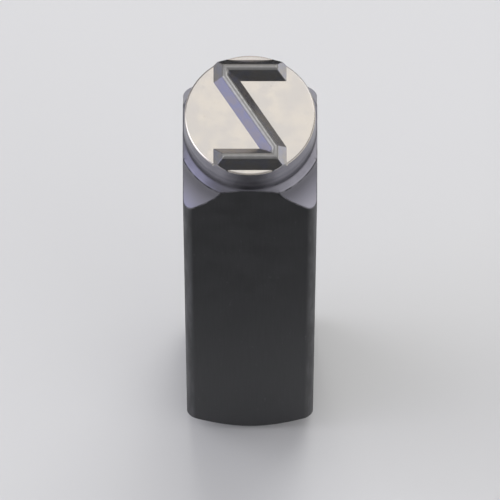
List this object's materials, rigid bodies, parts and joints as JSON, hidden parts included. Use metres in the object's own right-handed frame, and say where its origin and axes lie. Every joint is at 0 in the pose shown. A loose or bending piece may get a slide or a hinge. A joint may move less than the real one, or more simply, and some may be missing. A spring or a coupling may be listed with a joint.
{
  "type": "steel letter punch",
  "caption": "Square-shanked steel punch with a turned neck and a raised, mirrored capital letter on its face, struck with a hammer to stamp the letter into softer material.",
  "frame": {"origin": "centre of the struck end, which the punch stands on", "axes": "+Z along the shank from the struck end to the letter; -Y is the front, at the foot of the letter"},
  "size_m": [0.013, 0.013, 0.065],
  "materials": {
    "tool_steel": "black oxide on the shank; darkened turned steel on neck and shoulder; bare ground steel on the face"
  },
  "bodies": {
    "root": {"letter_punch": "tool_steel"}
  },
  "joints": []
}
